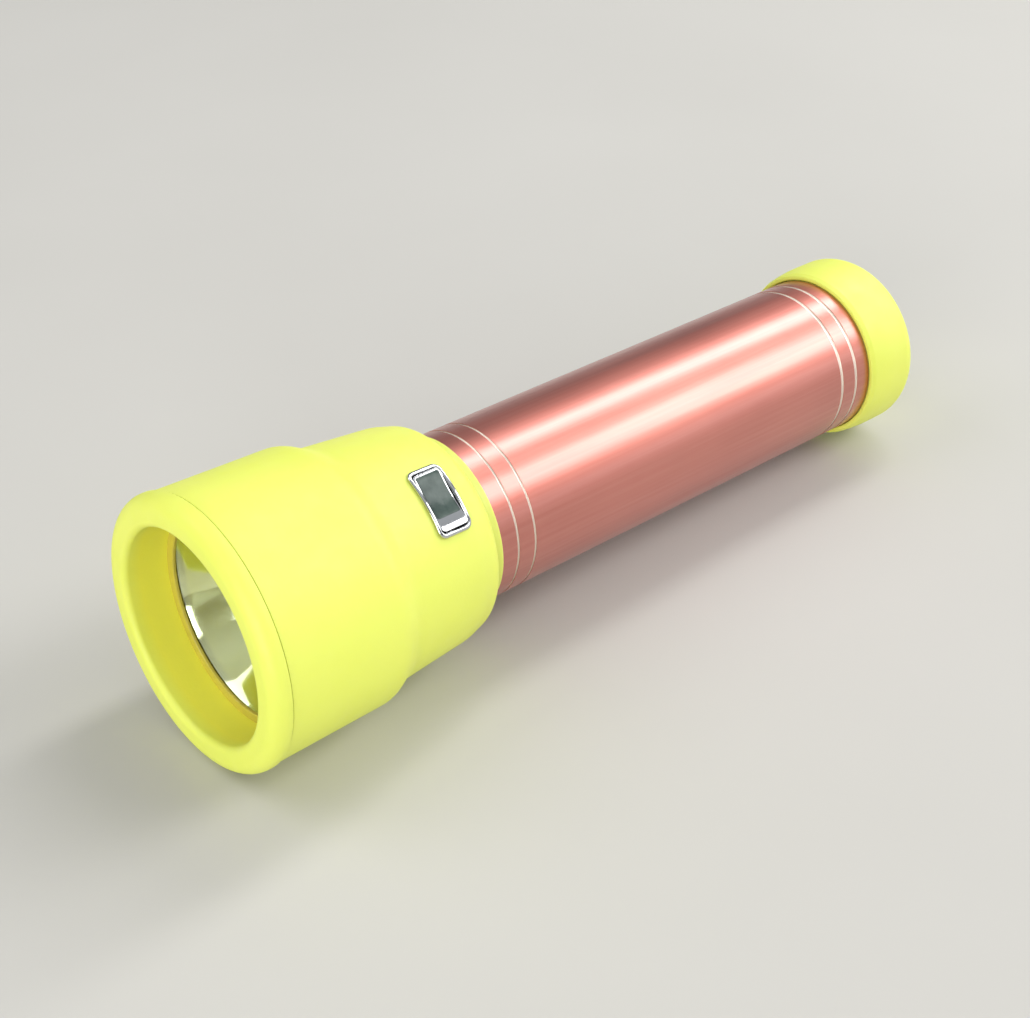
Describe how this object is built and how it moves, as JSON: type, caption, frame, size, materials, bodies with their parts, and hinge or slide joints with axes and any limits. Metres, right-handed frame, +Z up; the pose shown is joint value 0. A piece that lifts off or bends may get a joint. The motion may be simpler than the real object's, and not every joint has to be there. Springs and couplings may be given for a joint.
{
  "type": "firefighter flashlight",
  "caption": "Handheld flashlight with a yellow cup-shaped head, chrome push switch, smooth red metal barrel and yellow screw tail cap.",
  "frame": {"origin": "on the ground under the middle of the flashlight, which lies on its front rim and its tail cap", "axes": "+X along the flashlight from the lamp to the tail, +Z up, -Y to the side that the switch leans to; the barrel's own axis dips 2.7 degrees towards the tail"},
  "size_m": [0.1934, 0.0576, 0.0578],
  "materials": {
    "yellow_plastic": "semi-gloss",
    "red_aluminium": "satin anodised",
    "chrome_trim": "polished",
    "smoked_inlay": "glossy smoked",
    "mirror_bowl": "metallised",
    "clear_lens": "clear",
    "olive_seal": "matt",
    "black_rubber": "matt",
    "led_phosphor": "glossy dome",
    "white_board": "solder mask",
    "bare_aluminium": "machined",
    "steel": "plated",
    "black_plastic": "moulded",
    "brass": "bright",
    "spring_steel": "nickel plated",
    "cell_jacket": "printed jacket",
    "sleeve_card": "insulating film"
  },
  "bodies": {
    "flashlight": {"head_shell": "yellow_plastic", "reflector": "mirror_bowl", "led_emitter": "led_phosphor", "led_board": "white_board", "heat_sink": "bare_aluminium", "board_screws": "steel", "lamp_carrier": "black_plastic", "positive_stud": "brass", "positive_spring": "spring_steel", "supply_lead": "brass", "barrel": "red_aluminium", "front_seal": "black_rubber", "tail_seal": "black_rubber", "battery_front": "cell_jacket", "battery_rear": "cell_jacket", "cell_sleeve": "sleeve_card", "switch_frame": "chrome_trim", "switch_housing": "black_plastic", "switch_spring": "spring_steel", "switch_terminal_a": "brass", "switch_terminal_b": "brass"},
    "lens_set": {"lens": "clear_lens", "lens_gasket": "olive_seal"},
    "bezel": {"bezel_ring": "yellow_plastic"},
    "tail_contacts": {"tail_spring": "spring_steel", "tail_contact_plate": "steel", "tail_insulator": "black_plastic"},
    "tail_cap": {"tail_cap": "yellow_plastic"},
    "push_button": {"switch_button": "chrome_trim", "button_inlay": "smoked_inlay", "switch_contact": "brass"}
  },
  "joints": [
    {"name": "bezel_turn", "type": "hinge", "parent": "lens_set", "child": "bezel", "pos_m": [-0.08954, 0, 0.02894], "axis": [-0.9989, 0, 0.0465], "range_deg": [0, 1080]},
    {"name": "lens_travel", "type": "slide", "parent": "flashlight", "child": "lens_set", "axis": [-0.9989, 0, 0.0465], "range_m": [0, 0.0076]},
    {"name": "cap_turn", "type": "hinge", "parent": "tail_contacts", "child": "tail_cap", "pos_m": [0.08627, 0, 0.02076], "axis": [0.9989, 0, -0.0465], "range_deg": [0, 1800]},
    {"name": "cap_travel", "type": "slide", "parent": "flashlight", "child": "tail_contacts", "axis": [0.9989, 0, -0.0465], "range_m": [0, 0.0126]},
    {"name": "button_press", "type": "slide", "parent": "flashlight", "child": "push_button", "axis": [-0.0366, 0.6157, -0.7872], "range_m": [0, 0.0014], "stiffness_N_per_m": 800, "springref_m": -0.001, "deforming": ["switch_spring"]}
  ],
  "couplings": [
    {"joint": "lens_travel", "follows": "bezel_turn", "m_per_rad": 0.00039789},
    {"joint": "cap_travel", "follows": "cap_turn", "m_per_rad": 0.00039789}
  ]
}
